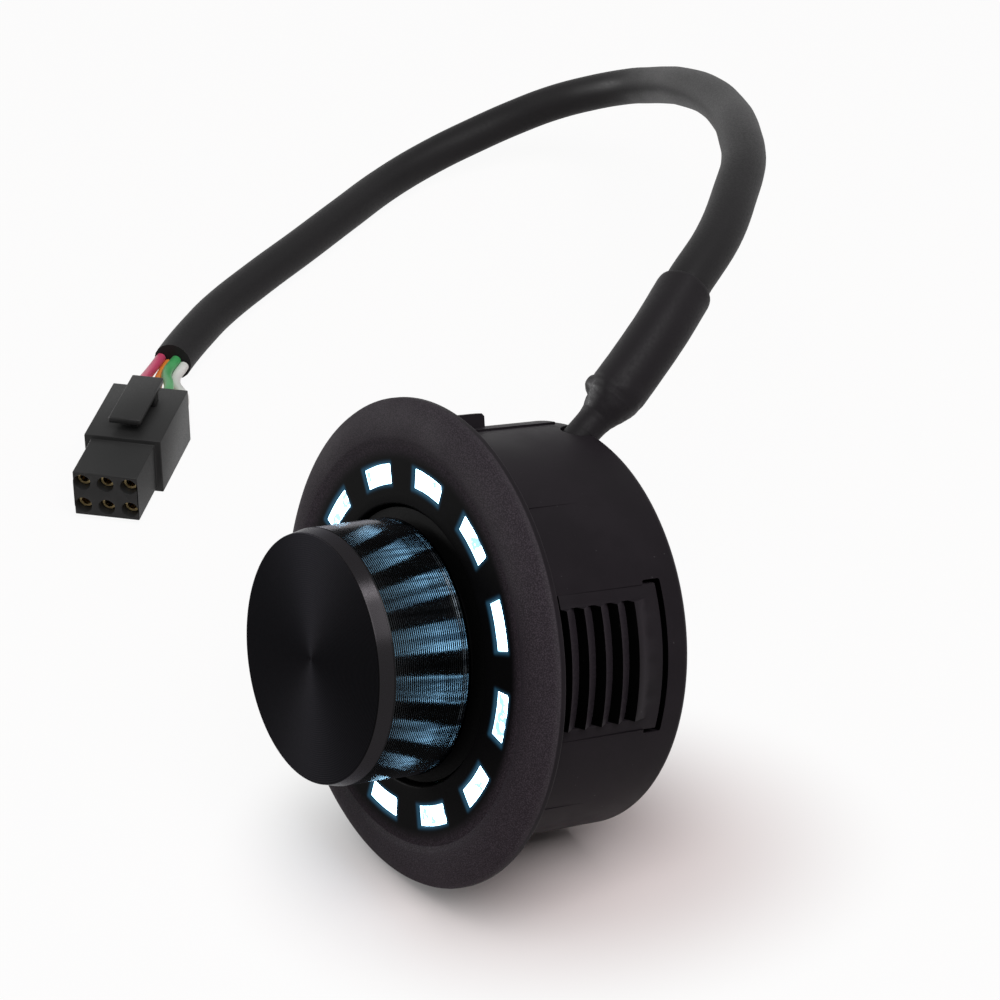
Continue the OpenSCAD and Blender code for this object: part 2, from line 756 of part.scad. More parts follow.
housing();
face_ring();
light_guide();
lamps();
main_board();
board_screws();
control_chip();
board_socket();
lead_plug();
encoder_base();
encoder_frame();
encoder_bush();
encoder_pins();
detent_spring();
switch_dome();
push_plunger();
encoder_shaft();
encoder_rotor();
knob_core();
knob_cap();
clip_right();
clip_left();
lead_bush();
lead();
shrink_sleeve();
cable();
core_red();
core_orange();
core_green();
core_white();
plug_housing();
plug_latch();
plug_contacts();
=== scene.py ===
# Lit panel controller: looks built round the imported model, in metres, in the model's own frame
import json
from math import atan2, cos, pi, radians, sin

import bpy
from mathutils import Matrix, Vector


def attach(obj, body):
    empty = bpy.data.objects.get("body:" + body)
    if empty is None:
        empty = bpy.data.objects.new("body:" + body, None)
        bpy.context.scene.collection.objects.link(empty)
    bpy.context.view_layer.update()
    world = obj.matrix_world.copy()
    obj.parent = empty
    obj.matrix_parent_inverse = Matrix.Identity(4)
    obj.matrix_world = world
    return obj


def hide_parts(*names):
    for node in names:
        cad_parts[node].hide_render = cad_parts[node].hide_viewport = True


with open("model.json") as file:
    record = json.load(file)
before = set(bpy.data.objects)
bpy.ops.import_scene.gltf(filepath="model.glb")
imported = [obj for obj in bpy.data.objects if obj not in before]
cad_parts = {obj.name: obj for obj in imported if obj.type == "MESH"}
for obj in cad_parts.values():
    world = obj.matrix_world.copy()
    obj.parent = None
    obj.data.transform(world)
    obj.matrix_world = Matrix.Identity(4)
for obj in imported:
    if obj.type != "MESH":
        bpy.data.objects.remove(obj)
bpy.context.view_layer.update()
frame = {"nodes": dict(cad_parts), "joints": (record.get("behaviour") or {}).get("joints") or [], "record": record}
nodes = frame["nodes"]
milli = 0.001
print("frame loaded:", len(nodes), "nodes")


# Where the controller sits: its own z runs out through the knob, its own x through the right clip
def jointNamed(name):
    return next(j for j in frame["joints"] if j["name"] == name)


knobAxis = Vector(jointNamed("knob_turn")["axis"]).normalized()
knobCentre = Vector(jointNamed("knob_turn")["pos_m"])
clipPoint = Vector(jointNamed("right_clip_flex")["pos_m"]) - knobCentre
clipSide = (clipPoint - knobAxis * clipPoint.dot(knobAxis)).normalized()
seat = Matrix((clipSide, knobAxis.cross(clipSide), knobAxis)).transposed().to_4x4()
seat.translation = knobCentre
seatMilli = seat @ Matrix.Scale(milli, 4)  # pieces are modelled in millimetres, then seated


# Working tools
def pickOnly(*pieces):
    if bpy.context.mode != "OBJECT":
        bpy.ops.object.mode_set(mode="OBJECT")
    bpy.ops.object.select_all(action="DESELECT")
    for piece in pieces:
        piece.select_set(True)
    bpy.context.view_layer.objects.active = pieces[0]


def applyPlace(piece, matrix):
    piece.matrix_world = matrix @ piece.matrix_world
    pickOnly(piece)
    bpy.ops.object.transform_apply(location=True, rotation=True, scale=True)


def applyModifier(piece, kind, **settings):
    pickOnly(piece)
    modifier = piece.modifiers.new(kind.title(), kind)
    for key, value in settings.items():
        setattr(modifier, key, value)
    bpy.ops.object.modifier_apply(modifier=modifier.name)


def softenEdges(piece, width):
    applyModifier(piece, "BEVEL", width=width, segments=2, limit_method="ANGLE",
                  angle_limit=radians(30), use_clamp_overlap=True, harden_normals=False)


def roundEdges(piece, width, wanted):
    # bevels only the edges that a test picks by their two ends
    pickOnly(piece)
    bpy.ops.object.mode_set(mode="EDIT")
    bpy.ops.mesh.select_mode(type="EDGE")
    bpy.ops.mesh.select_all(action="DESELECT")
    bpy.ops.object.mode_set(mode="OBJECT")
    for edge in piece.data.edges:
        edge.select = wanted(*(piece.data.vertices[i].co for i in edge.vertices))
    bpy.ops.object.mode_set(mode="EDIT")
    bpy.ops.mesh.bevel(offset=width, segments=3, affect="EDGES")
    bpy.ops.object.mode_set(mode="OBJECT")


def smoothShade(piece, angle):
    pickOnly(piece)
    bpy.ops.object.shade_smooth_by_angle(angle=radians(angle))


def drawOutline(name, points):
    # one vertex, pulled along the outline in the xz plane
    bpy.ops.object.select_all(action="DESELECT")
    bpy.ops.mesh.primitive_plane_add(size=1, location=(0, 0, 0))
    piece = bpy.context.object
    piece.name = name
    bpy.ops.object.mode_set(mode="EDIT")
    bpy.ops.mesh.select_mode(type="VERT")
    bpy.ops.mesh.select_all(action="SELECT")
    bpy.ops.mesh.merge(type="CENTER")
    bpy.ops.transform.translate(value=(points[0][0], 0, points[0][1]))
    for (x0, z0), (x1, z1) in zip(points, points[1:]):
        bpy.ops.mesh.extrude_region_move(TRANSFORM_OT_translate={"value": (x1 - x0, 0, z1 - z0)})
    bpy.ops.mesh.select_all(action="SELECT")
    return piece


def cleanSkin(piece, merge=0.0005):
    pickOnly(piece)
    bpy.ops.object.mode_set(mode="EDIT")
    bpy.ops.mesh.select_all(action="SELECT")
    bpy.ops.mesh.remove_doubles(threshold=merge)
    bpy.ops.mesh.normals_make_consistent(inside=False)
    bpy.ops.object.mode_set(mode="OBJECT")
    return piece


def turnOutline(name, points, steps):
    # a lathe: the outline goes all the way round z
    piece = drawOutline(name, points)
    bpy.ops.mesh.spin(steps=steps, angle=2 * pi, center=(0, 0, 0), axis=(0, 0, 1))
    return cleanSkin(piece)


def sweepOutline(name, points, middle, half, steps):
    # a closed outline swept through an arc about z, degrees either side of the middle
    piece = drawOutline(name, points)
    bpy.ops.mesh.edge_face_add()
    bpy.ops.mesh.spin(steps=steps, angle=radians(2 * half), center=(0, 0, 0), axis=(0, 0, 1))
    cleanSkin(piece)
    applyPlace(piece, Matrix.Rotation(radians(middle + half), 4, "Z"))
    return piece


def addBlock(name, low, high):
    bpy.ops.object.select_all(action="DESELECT")
    middle = [(a + b) / 2 for a, b in zip(low, high)]
    bpy.ops.mesh.primitive_cube_add(size=1, location=middle, scale=[b - a for a, b in zip(low, high)])
    piece = bpy.context.object
    piece.name = name
    applyPlace(piece, Matrix.Identity(4))
    return piece


def combine(piece, other, operation):
    applyModifier(piece, "BOOLEAN", object=other, operation=operation, solver="EXACT")
    bpy.data.objects.remove(other)
    return piece


def copyTurned(piece, angle):
    pickOnly(piece)
    bpy.ops.object.duplicate()
    twin = bpy.context.object
    applyPlace(twin, Matrix.Rotation(radians(angle), 4, "Z"))
    return twin


def joinAll(pieces):
    pickOnly(*pieces)
    bpy.ops.object.join()
    return bpy.context.object


def arcPoints(x, z, radius, start, stop, count):
    turns = [radians(start + (stop - start) * k / count) for k in range(count + 1)]
    return [(x + radius * cos(t), z + radius * sin(t)) for t in turns]


def softCopy(nodeName, name, width):
    # a node's own shape with its edges broken
    pickOnly(nodes[nodeName])
    bpy.ops.object.duplicate()
    piece = bpy.context.object
    piece.name = name
    applyPlace(piece, Matrix.Scale(1000, 4))
    bpy.ops.object.mode_set(mode="EDIT")
    bpy.ops.mesh.select_all(action="SELECT")
    bpy.ops.mesh.remove_doubles(threshold=0.0005)
    bpy.ops.mesh.dissolve_limited(angle_limit=radians(0.5))
    bpy.ops.object.mode_set(mode="OBJECT")
    softenEdges(piece, width)
    smoothShade(piece, 32)
    applyPlace(piece, Matrix.Scale(milli, 4))
    return piece


def dress(piece, finish):
    piece.data.materials.clear()
    piece.data.materials.append(finish)


# Finishes: all patterns read Object coordinates, turned into the controller's own axes where they follow it
def newFinish(name):
    finish = bpy.data.materials.new(name)
    finish.use_nodes = True
    return finish, finish.node_tree, finish.node_tree.nodes["Principled BSDF"]


def addNode(tree, kind, inputs=(), **settings):
    node = tree.nodes.new(kind)
    for key, value in settings.items():
        setattr(node, key, value)
    for key, value in dict(inputs).items():
        if isinstance(value, bpy.types.NodeSocket):
            tree.links.new(value, node.inputs[key])
        else:
            node.inputs[key].default_value = value
    return node


def objectPlace(tree):
    return addNode(tree, "ShaderNodeTexCoord").outputs["Object"]


def ownPlace(tree):
    turn = addNode(tree, "ShaderNodeMapping", {"Vector": objectPlace(tree)}, vector_type="TEXTURE")
    turn.inputs["Location"].default_value = knobCentre
    turn.inputs["Rotation"].default_value = seat.to_euler()
    return turn.outputs["Vector"]


def mathNode(tree, operation, first, second=0.0):
    return addNode(tree, "ShaderNodeMath", {0: first, 1: second}, operation=operation).outputs[0]


def multiply(tree, *values):
    product = values[0]
    for value in values[1:]:
        product = mathNode(tree, "MULTIPLY", product, value)
    return product


def vectorNode(tree, operation, first, second=(0, 0, 0)):
    return addNode(tree, "ShaderNodeVectorMath", {0: first, 1: second}, operation=operation).outputs


def rangeNode(tree, value, low, high, outLow=0.0, outHigh=1.0):
    return addNode(tree, "ShaderNodeMapRange", {"Value": value, "From Min": low, "From Max": high,
                   "To Min": outLow, "To Max": outHigh}, interpolation_type="SMOOTHSTEP").outputs["Result"]


def noiseNode(tree, place, scale, detail=3.0, rough=0.55):
    return addNode(tree, "ShaderNodeTexNoise", {"Vector": place, "Scale": scale, "Detail": detail,
                   "Roughness": rough}).outputs["Fac"]


def mixColour(tree, share, first, second):
    node = addNode(tree, "ShaderNodeMix", data_type="RGBA")
    for socket, value in ((node.inputs[0], share), (node.inputs[6], first), (node.inputs[7], second)):
        if isinstance(value, bpy.types.NodeSocket):
            tree.links.new(value, socket)
        else:
            socket.default_value = value
    return node.outputs[2]


def bumpNode(tree, height, strength, distance):
    node = addNode(tree, "ShaderNodeBump", {"Height": height, "Strength": strength, "Distance": distance})
    return node.outputs["Normal"]


def grey(level, warm=0.0):
    return (level * (1 + warm), level * (1 - abs(warm)), level * (1 + warm), 1)


plasticLook = {"cloud": 160, "mottle": 0.12, "glossSpread": 0.06, "bump": 0.5}


def plainPlastic(name, colour, rough, grain, grainDepth, specular=0.4):
    # a moulded or drawn plastic: fine grain, slight clouding of colour and gloss
    finish, tree, shader = newFinish(name)
    place = objectPlace(tree)
    cloud = noiseNode(tree, place, plasticLook["cloud"], 2)
    fine = noiseNode(tree, place, grain, 4)
    mottle, spread = plasticLook["mottle"], plasticLook["glossSpread"]
    dark = tuple(c * (1 - mottle) for c in colour[:3]) + (1,)
    light = tuple(min(1, c * (1 + mottle)) for c in colour[:3]) + (1,)
    tree.links.new(mixColour(tree, cloud, dark, light), shader.inputs["Base Color"])
    gloss = rangeNode(tree, fine, 0.3, 0.7, rough - spread, rough + spread)
    tree.links.new(gloss, shader.inputs["Roughness"])
    tree.links.new(bumpNode(tree, fine, plasticLook["bump"], grainDepth), shader.inputs["Normal"])
    shader.inputs["Specular IOR Level"].default_value = specular
    return finish


# the rim tone lightens the flange's outer rim as a painted highlight
shellLook = {"flange": 0.0275, "flangeDark": 0.75, "flangeLight": 2.0, "rimHighlight": 2.4, "body": 0.0105,
             # slope and steep tones: painted light on the clip teeth's slopes, painted shade on their steep faces
             "bodyLight": 1.5, "slope": 0.024, "steepShade": 0.0004, "dust": 0.12, "tint": 0.10,
             "flangeRough": 0.72, "bodyRough": 0.46, "roughSpread": 0.05, "specular": 0.045,
             "grain": 8000, "grainDepth": 0.000016, "flangeBump": 0.8, "bodyBump": 0.10,
             "cloud": 140, "dustSize": 2600,
             # reach of the rim's painted highlight, heights where the flange's grain starts and the clip's teeth
             # end
             "rim": (0.02455, 0.02502), "front": (-0.00034, -0.00014), "teeth": (-0.0036, -0.0034)}


def ownPolar(tree):
    # the controller's own coordinates, with the reach from its axis
    own = ownPlace(tree)
    parts = addNode(tree, "ShaderNodeSeparateXYZ", {"Vector": own})
    flat = addNode(tree, "ShaderNodeCombineXYZ", {"X": parts.outputs[0], "Y": parts.outputs[1]})
    return own, parts, vectorNode(tree, "LENGTH", flat.outputs[0])["Value"]


def flangeTone(tree, grain):
    light = rangeNode(tree, grain, 0.42, 0.64, 0, 0.8)
    return mixColour(tree, light, grey(shellLook["flange"] * shellLook["flangeDark"], shellLook["tint"]),
                     grey(shellLook["flange"] * shellLook["flangeLight"], shellLook["tint"]))


def alongAxis(tree):
    # how far a face looks the same way as the knob
    normal = addNode(tree, "ShaderNodeTexCoord").outputs["Normal"]
    return vectorNode(tree, "DOT_PRODUCT", normal, tuple(knobAxis))["Value"]


def shellPlastic():
    # spark-eroded grain on the flange, smoother satin body, painted highlight on the rim, painted shade and light
    # on the clip's teeth
    finish, tree, shader = newFinish("shellPlastic")
    own, parts, reach = ownPolar(tree)
    height = parts.outputs[2]
    tint = shellLook["tint"]
    front = rangeNode(tree, height, *shellLook["front"])
    grain = noiseNode(tree, own, shellLook["grain"], 3, 0.6)
    cloud = noiseNode(tree, own, shellLook["cloud"], 3)
    dust = noiseNode(tree, own, shellLook["dustSize"], 2, 0.4)
    # painted highlight along the flange's outer rim
    rim = rangeNode(tree, reach, *shellLook["rim"], 0, 0.25)
    rimHighlight = mixColour(tree, rim, flangeTone(tree, grain),
                       grey(shellLook["flange"] * shellLook["rimHighlight"], 0.04))
    body = mixColour(tree, rangeNode(tree, cloud, 0.35, 0.7, 0, 0.5), grey(shellLook["body"], tint),
                     grey(shellLook["body"] * shellLook["bodyLight"], tint))
    # on the clip the teeth's steep faces, which face the flange, get painted shade and their slopes painted light
    facing = alongAxis(tree)
    behind = rangeNode(tree, height, *shellLook["teeth"], 1, 0)
    slope = multiply(tree, rangeNode(tree, facing, -0.6, -0.2, 1, 0), behind)
    steepShade = multiply(tree, rangeNode(tree, facing, 0.4, 0.7), behind)
    sloped = mixColour(tree, slope, body, grey(shellLook["slope"], tint))
    shaded = mixColour(tree, steepShade, sloped, grey(shellLook["steepShade"]))
    specks = rangeNode(tree, dust, 0.76, 0.80, 0, 0.35)
    dusty = mixColour(tree, specks, shaded, grey(shellLook["dust"], 0.02))
    tree.links.new(mixColour(tree, front, dusty, rimHighlight), shader.inputs["Base Color"])
    rough = rangeNode(tree, front, 0, 1, shellLook["bodyRough"], shellLook["flangeRough"])
    spread = rangeNode(tree, cloud, 0.3, 0.7, -shellLook["roughSpread"], shellLook["roughSpread"])
    tree.links.new(mathNode(tree, "ADD", rough, spread), shader.inputs["Roughness"])
    strength = rangeNode(tree, front, 0, 1, shellLook["bodyBump"], shellLook["flangeBump"])
    tree.links.new(bumpNode(tree, grain, strength, shellLook["grainDepth"]), shader.inputs["Normal"])
    shader.inputs["Specular IOR Level"].default_value = shellLook["specular"]
    return finish


# Twelve lit windows: reach from the axis, half angle and pitch
windows = {"inR": 16.3, "outR": 18.5, "half": 8.4, "count": 12, "first": 15, "corner": 0.28}
faceLook = {"colour": 0.0020, "light": 1.5, "cloud": 260, "rough": 0.52, "specular": 0.012,
            # glow: a painted glow laid on the ring round the windows
            "glow": (0.012, 0.050, 0.088, 1), "spread": 0.0008, "fadeIn": 0.0188, "fadeOut": 0.0204}


def windowSides(tree, parts, reach):
    # metres past the nearest window's edges, sideways and outwards; negative inside it
    angle = mathNode(tree, "ARCTAN2", parts.outputs[1], parts.outputs[0])
    pitch = 2 * pi / windows["count"]
    turned = mathNode(tree, "ADD", angle, 2 * pi - radians(windows["first"]) + pitch / 2)
    offset = mathNode(tree, "SUBTRACT", mathNode(tree, "MODULO", turned, pitch), pitch / 2)
    past = mathNode(tree, "SUBTRACT", mathNode(tree, "ABSOLUTE", offset), radians(windows["half"]))
    middle = (windows["inR"] + windows["outR"]) / 2 * milli
    half = (windows["outR"] - windows["inR"]) / 2 * milli
    away = mathNode(tree, "ABSOLUTE", mathNode(tree, "SUBTRACT", reach, middle))
    return multiply(tree, past, reach), mathNode(tree, "SUBTRACT", away, half)


def windowDistance(tree, parts, reach):
    sideways, outwards = (mathNode(tree, "MAXIMUM", side, 0.0) for side in windowSides(tree, parts, reach))
    square = mathNode(tree, "ADD", multiply(tree, sideways, sideways), multiply(tree, outwards, outwards))
    return mathNode(tree, "SQRT", square)


def windowDepth(tree, parts, reach):
    sideways, outwards = windowSides(tree, parts, reach)
    return multiply(tree, mathNode(tree, "MAXIMUM", sideways, outwards), -1.0)


def facePlastic():
    # smooth dark face that takes on the flange's grain at its rim; a painted glow lies round the window edges
    finish, tree, shader = newFinish("faceBlack")
    own, parts, reach = ownPolar(tree)
    grain = noiseNode(tree, own, shellLook["grain"], 3, 0.6)
    cloud = noiseNode(tree, own, faceLook["cloud"], 2)
    outer = rangeNode(tree, reach, faceLook["fadeIn"], faceLook["fadeOut"])
    dark = mixColour(tree, cloud, grey(faceLook["colour"], 0.03),
                     grey(faceLook["colour"] * faceLook["light"], 0.03))
    tree.links.new(mixColour(tree, outer, dark, flangeTone(tree, grain)), shader.inputs["Base Color"])
    rough = rangeNode(tree, outer, 0, 1, faceLook["rough"], shellLook["flangeRough"])
    jitter = rangeNode(tree, grain, 0.3, 0.7, -shellLook["roughSpread"], shellLook["roughSpread"])
    tree.links.new(mathNode(tree, "ADD", rough, jitter), shader.inputs["Roughness"])
    strength = rangeNode(tree, outer, 0, 1, shellLook["bodyBump"], shellLook["flangeBump"])
    tree.links.new(bumpNode(tree, grain, strength, shellLook["grainDepth"]), shader.inputs["Normal"])
    # painted glow: emission rises towards each window's edge
    near = rangeNode(tree, windowDistance(tree, parts, reach), 0.0, faceLook["spread"], 1, 0)
    edge = mathNode(tree, "POWER", near, 4.0)
    tree.links.new(mixColour(tree, edge, (0, 0, 0, 1), faceLook["glow"]), shader.inputs["Emission Color"])
    shader.inputs["Emission Strength"].default_value = 1
    shader.inputs["Specular IOR Level"].default_value = faceLook["specular"]
    return finish


padLook = {"white": (0.40, 0.75, 1.0, 1), "blue": (0.036, 0.072, 0.100, 1), "strength": 10, "top": 0.00092,
           "unlit": (0.80, 0.86, 0.90, 1), "unlitBlue": (0.42, 0.66, 0.84, 1),
           "patch": 1500, "blot": 560, "wide": 130, "ragged": 0.00014}


def litPad():
    # lit from behind: white, with pale blue smudges and a thin pale blue edge
    finish, tree, shader = newFinish("litPad")
    own, parts, reach = ownPolar(tree)
    patch = noiseNode(tree, own, padLook["patch"], 3, 0.6)
    blot = noiseNode(tree, own, padLook["blot"], 2, 0.5)
    wide = noiseNode(tree, own, padLook["wide"], 1, 0.5)
    inside = windowDepth(tree, parts, reach)
    middle = rangeNode(tree, inside, 0.00015, 0.0006)
    share = multiply(tree, rangeNode(tree, patch, 0.40, 0.58), rangeNode(tree, blot, 0.44, 0.58), middle,
                     rangeNode(tree, wide, 0.38, 0.54))
    smudge = rangeNode(tree, share, 0.0, 0.40)
    ragged = mathNode(tree, "ADD", inside, multiply(tree, patch, padLook["ragged"]))
    edge = rangeNode(tree, ragged, 0.00006, 0.00024, 0.95, 0)
    blue = mathNode(tree, "MAXIMUM", smudge, edge)
    bright = mathNode(tree, "POWER", mathNode(tree, "SUBTRACT", 1.0, blue), 3.0)
    glow = mixColour(tree, bright, padLook["blue"], padLook["white"])
    top = rangeNode(tree, parts.outputs[2], padLook["top"] - 0.00004, padLook["top"])
    tree.links.new(mixColour(tree, top, (0, 0, 0, 1), glow), shader.inputs["Emission Color"])
    shader.inputs["Emission Strength"].default_value = padLook["strength"]
    tree.links.new(mixColour(tree, blue, padLook["unlit"], padLook["unlitBlue"]), shader.inputs["Base Color"])
    tree.links.new(rangeNode(tree, patch, 0.3, 0.7, 0.25, 0.4), shader.inputs["Roughness"])
    return finish


# the face's line tone is a painted reflection, the lip and foot tones are painted shade
knobLook = {"face": 0.0002, "faceLineSheen": 0.0045, "band": 0.020, "lip": 0.006, "footShade": 0.002,
            # the wall tones' blue cast is painted, tinting the pads' reflections on the wall
            "wall": (0.150, 0.178, 0.205, 1), "wallDull": (0.032, 0.040, 0.050, 1),
            # the high wall tone is painted shade, darkening the wall towards the band
            "wallBandShade": (0.040, 0.040, 0.041, 1), "edgeTint": (0.60, 0.60, 0.62, 1),
            "faceRough": 0.48, "bandRough": 0.28, "wallRough": 0.15, "roughSpread": 0.03,
            "stretch": 0.66, "linePitch": 0.00021875, "fine": 5200, "streak": 1000,
            # heights: top of the foot, below which the wall is painted near black as shade, where painted shade
            # darkens the wall towards the band, and the plain band
            "foot": 0.0023, "shadeRise": (0.004, 0.0105), "bandLow": 0.01078, "bandHigh": 0.01231}


def knobMetal():
    # black anodised aluminium: gloss drawn out along the turning marks, paler plain band
    finish, tree, shader = newFinish("knobMetal")
    place = objectPlace(tree)
    own, parts, reach = ownPolar(tree)
    height = parts.outputs[2]
    overWall = rangeNode(tree, height, knobLook["bandLow"] - 0.00005, knobLook["bandLow"])
    overBand = rangeNode(tree, height, knobLook["bandHigh"], knobLook["bandHigh"] + 0.00005)
    fine = noiseNode(tree, own, knobLook["fine"], 3)
    # turning lines on the face, one light and one dark a pitch: the light lines are a painted reflection
    beat = mathNode(tree, "SINE", multiply(tree, reach, 2 * pi / knobLook["linePitch"]))
    faceTone = mixColour(tree, rangeNode(tree, beat, -0.2, 1.0), grey(knobLook["face"], 0.05),
                         grey(knobLook["faceLineSheen"], 0.05))
    # painted shade: faces that look out along the axis, the grooves' upper lips, are made dark
    lip = rangeNode(tree, alongAxis(tree), 0.22, 0.36)
    # streaks up the wall, with painted shade darkening it towards the band
    drawn = addNode(tree, "ShaderNodeMapping", {"Vector": own, "Scale": (1, 1, 0.03)}, vector_type="POINT")
    streak = noiseNode(tree, drawn.outputs[0], knobLook["streak"], 2)
    streaked = mixColour(tree, rangeNode(tree, streak, 0.36, 0.58), knobLook["wallDull"], knobLook["wall"])
    bandShade = rangeNode(tree, height, *knobLook["shadeRise"], 0, 0.85)
    bandShaded = mixColour(tree, bandShade, streaked, knobLook["wallBandShade"])
    lipShaded = mixColour(tree, lip, bandShaded, grey(knobLook["lip"]))
    # painted shade: the wall below the top of the foot is made near black
    overFoot = rangeNode(tree, height, knobLook["foot"] - 0.0001, knobLook["foot"])
    wallTone = mixColour(tree, overFoot, grey(knobLook["footShade"]), lipShaded)
    zone = mixColour(tree, overWall, wallTone, grey(knobLook["band"], 0.04))
    tree.links.new(mixColour(tree, overBand, zone, faceTone), shader.inputs["Base Color"])
    rough = rangeNode(tree, overWall, 0, 1, knobLook["wallRough"], knobLook["bandRough"])
    gap = rangeNode(tree, overBand, 0, 1, 0, knobLook["faceRough"] - knobLook["bandRough"])
    jitter = rangeNode(tree, fine, 0.3, 0.7, -knobLook["roughSpread"], knobLook["roughSpread"])
    turnedRough = mathNode(tree, "ADD", mathNode(tree, "ADD", rough, gap), jitter)
    tree.links.new(turnedRough, shader.inputs["Roughness"])
    # the gloss is drawn out round the axis
    arm = vectorNode(tree, "SUBTRACT", place, knobCentre)[0]
    along = vectorNode(tree, "CROSS_PRODUCT", tuple(knobAxis), arm)[0]
    turned = addNode(tree, "ShaderNodeVectorTransform", {"Vector": along}, vector_type="VECTOR",
                     convert_from="OBJECT", convert_to="WORLD").outputs[0]
    tree.links.new(turned, shader.inputs["Tangent"])
    tree.links.new(bumpNode(tree, fine, 0.08, 0.000005), shader.inputs["Normal"])
    shader.inputs["Metallic"].default_value = 1
    shader.inputs["Anisotropic"].default_value = knobLook["stretch"]
    shader.inputs["Anisotropic Rotation"].default_value = 0.25  # widest across the turning marks
    shader.inputs["Specular Tint"].default_value = knobLook["edgeTint"]
    return finish


def bareMetal(name, colour, rough, grain):
    finish, tree, shader = newFinish(name)
    place = objectPlace(tree)
    drawn = addNode(tree, "ShaderNodeMapping", {"Vector": place}, vector_type="POINT")
    drawn.inputs["Scale"].default_value = (1, 1, 12)
    streak = noiseNode(tree, drawn.outputs[0], grain, 3)
    tree.links.new(mixColour(tree, streak, tuple(c * 0.82 for c in colour) + (1,), colour + (1,)),
                   shader.inputs["Base Color"])
    tree.links.new(rangeNode(tree, streak, 0.3, 0.7, rough - 0.08, rough + 0.08), shader.inputs["Roughness"])
    tree.links.new(bumpNode(tree, streak, 0.25, 0.000008), shader.inputs["Normal"])
    shader.inputs["Metallic"].default_value = 1
    return finish


def boardFinish():
    # green mask with tracks under it
    finish, tree, shader = newFinish("boardGreen")
    own = ownPlace(tree)
    cells = addNode(tree, "ShaderNodeTexBrick", {"Vector": own, "Scale": 260, "Mortar Size": 0.06,
                    "Color1": (0.010, 0.085, 0.040, 1), "Color2": (0.013, 0.10, 0.047, 1),
                    "Mortar": (0.035, 0.20, 0.085, 1)})
    tree.links.new(cells.outputs["Color"], shader.inputs["Base Color"])
    tree.links.new(bumpNode(tree, cells.outputs["Fac"], 0.3, 0.00003), shader.inputs["Normal"])
    gloss = rangeNode(tree, noiseNode(tree, own, 900), 0.3, 0.7, 0.28, 0.42)
    tree.links.new(gloss, shader.inputs["Roughness"])
    return finish


finishes = {
    "shell_black": shellPlastic(),
    "face_black": facePlastic(),
    "light_pads": litPad(),
    "lamp_yellow": plainPlastic("lampYellow", (0.82, 0.74, 0.36, 1), 0.3, 3000, 0.000006),
    "board_green": boardFinish(),
    "steel": bareMetal("drawnSteel", (0.60, 0.61, 0.63), 0.32, 900),
    "chip_black": plainPlastic("chipBlack", grey(0.0025), 0.62, 7000, 0.000012, 0.03),
    "socket_cream": plainPlastic("socketCream", (0.74, 0.70, 0.60, 1), 0.45, 4000, 0.000008),
    "brass": bareMetal("brassYellow", (0.74, 0.56, 0.27), 0.3, 900),
    "knob_metal": knobMetal(),
    "rubber_black": plainPlastic("rubberBlack", grey(0.010, 0.06), 0.56, 5200, 0.000014, 0.09),
    "sleeve_black": plainPlastic("sleeveBlack", grey(0.011, 0.07), 0.50, 3000, 0.000024, 0.09),
    "cable_black": plainPlastic("cableBlack", grey(0.014, 0.03), 0.52, 4200, 0.000014, 0.09),
    "core_red": plainPlastic("coreRed", (0.62, 0.07, 0.16, 1), 0.36, 5000, 0.000006),
    "core_orange": plainPlastic("coreOrange", (0.78, 0.27, 0.04, 1), 0.36, 5000, 0.000006),
    "core_green": plainPlastic("coreGreen", (0.06, 0.36, 0.11, 1), 0.36, 5000, 0.000006),
    "core_white": plainPlastic("coreWhite", (0.74, 0.74, 0.71, 1), 0.36, 5000, 0.000006),
    "plug_black": plainPlastic("plugBlack", grey(0.018), 0.44, 6000, 0.000010, 0.16),
}
slotOfNode = {p["node"]: p["material_slot"] for p in frame["record"]["subparts"]}
for nodeName, nodeObject in nodes.items():
    dress(nodeObject, finishes[slotOfNode[nodeName]])
print("finishes made:", len(finishes))


def finishPiece(piece, body, slotName, *replaced):
    dress(piece, finishes[slotName])
    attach(piece, body)
    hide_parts(*replaced)
    print("piece made:", piece.name, len(piece.data.polygons) if piece.type == "MESH" else "curve")
    return piece


# Camera at the photograph's place
view = {"place": (236.23, -144.084, 218.747), "towards": (-0.709276, 0.451047, -0.541741),
        "lens": 119.511, "sensor": 36}


def placeCamera():
    bpy.ops.object.camera_add(location=Vector(view["place"]) * milli)
    camera = bpy.context.object
    camera.rotation_mode = "QUATERNION"
    camera.rotation_quaternion = Vector(view["towards"]).to_track_quat("-Z", "Y")
    camera.data.lens = view["lens"]
    camera.data.sensor_width = view["sensor"]
    camera.data.clip_start = 0.01
    camera.data.clip_end = 20
    bpy.context.scene.camera = camera


placeCamera()

# The cord: lead, sleeve, cable, cores. Points follow the solids' routes, in millimetres
cordRoutes = {
    "lead": [(-2.1, 7.3, 33.5), (-2.5, 9, 35.4), (-2.9, 11.6, 36.6), (-3.2, 14.9, 37.8),
             (-3.7, 18, 39.7), (-4.2, 21.4, 41.8)],
    "sleeve": [(-4.2, 21.5, 41.86), (-5.4, 25.8, 44.4), (-7.7, 31, 46.8), (-10.6, 35.9, 48.5)],
    "cable": [(-11, 36.5, 48.8), (-15.5, 43.5, 50.2), (-22.5, 51, 50.8), (-28, 56, 50.3),
              (-37.5, 62.5, 48), (-52.5, 72, 42.2), (-67, 79.8, 36.5), (-82, 86.8, 29.8),
              (-96, 93.8, 22.6), (-105, 97.3, 18), (-111, 98.05, 15.2), (-117, 96, 12.3),
              (-121.5, 92.3, 9.8), (-124.5, 88, 7.5), (-126.4, 82, 5.3), (-126.87, 75.5, 3.7),
              (-125, 67, 2.7), (-120, 56.7, 2.6), (-115, 47, 2.6), (-110.5, 38, 2.6),
              (-105.5, 29, 2.6), (-102.3, 24.5, 2.6), (-99, 20.3, 2.6), (-97, 18, 2.6)],
}
cord = {"leadDiameter": 3.4, "cableDiameter": 5.0, "cableLength": 0.222, "sides": 8}


